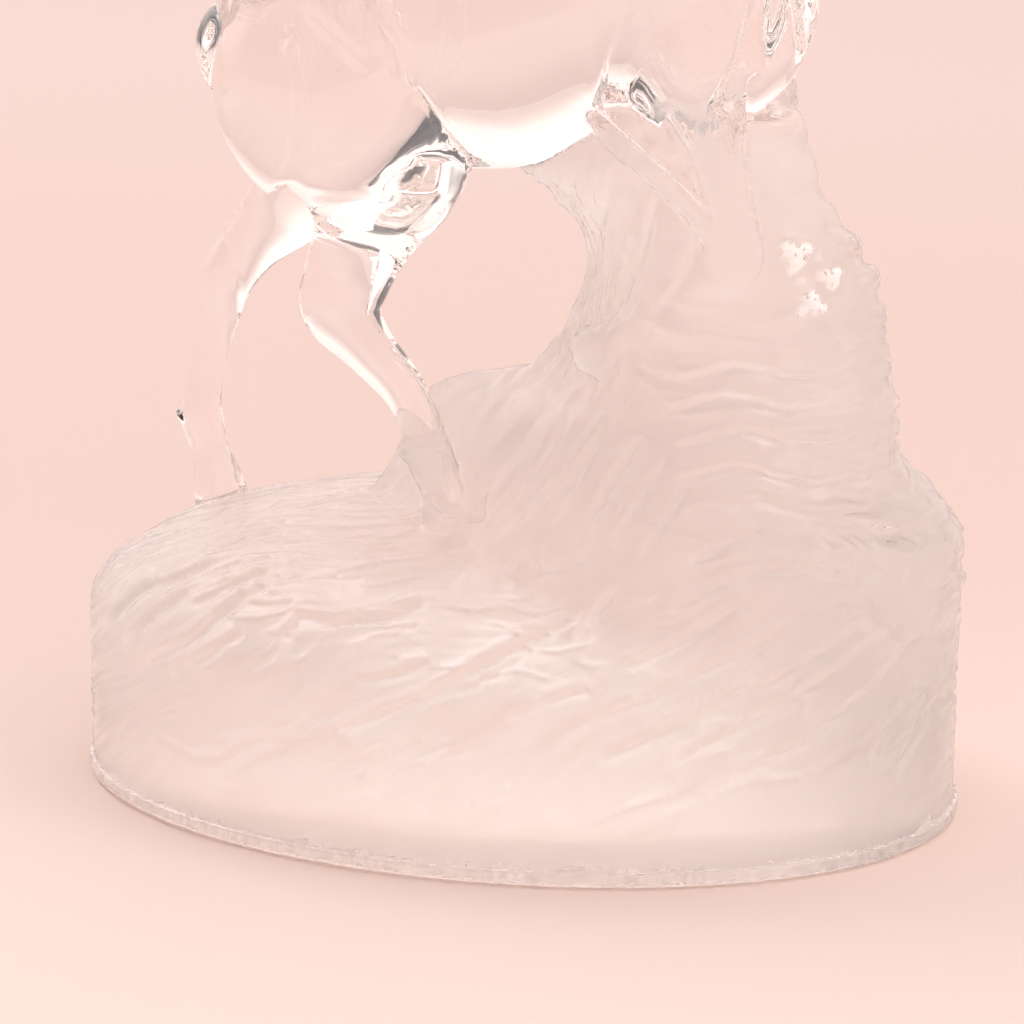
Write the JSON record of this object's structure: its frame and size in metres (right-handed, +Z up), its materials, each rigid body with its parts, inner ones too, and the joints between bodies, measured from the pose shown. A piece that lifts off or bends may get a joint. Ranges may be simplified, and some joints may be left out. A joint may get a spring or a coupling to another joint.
{
  "type": "deer figurine",
  "caption": "Clear glass stag leaping over a frosted rock on a thick oval base, pressed in one piece; stands on its flat underside.",
  "frame": {"origin": "middle of the oval underside, on the table", "axes": "+Z up, +X along the base towards the deer's head, +Y to the deer's left"},
  "size_m": [0.1465, 0.09, 0.221],
  "materials": {
    "crystal": "clear and polished on the deer, satin frosted on the rock and base"
  },
  "bodies": {
    "root": {"crystal_deer": "crystal"}
  },
  "joints": []
}
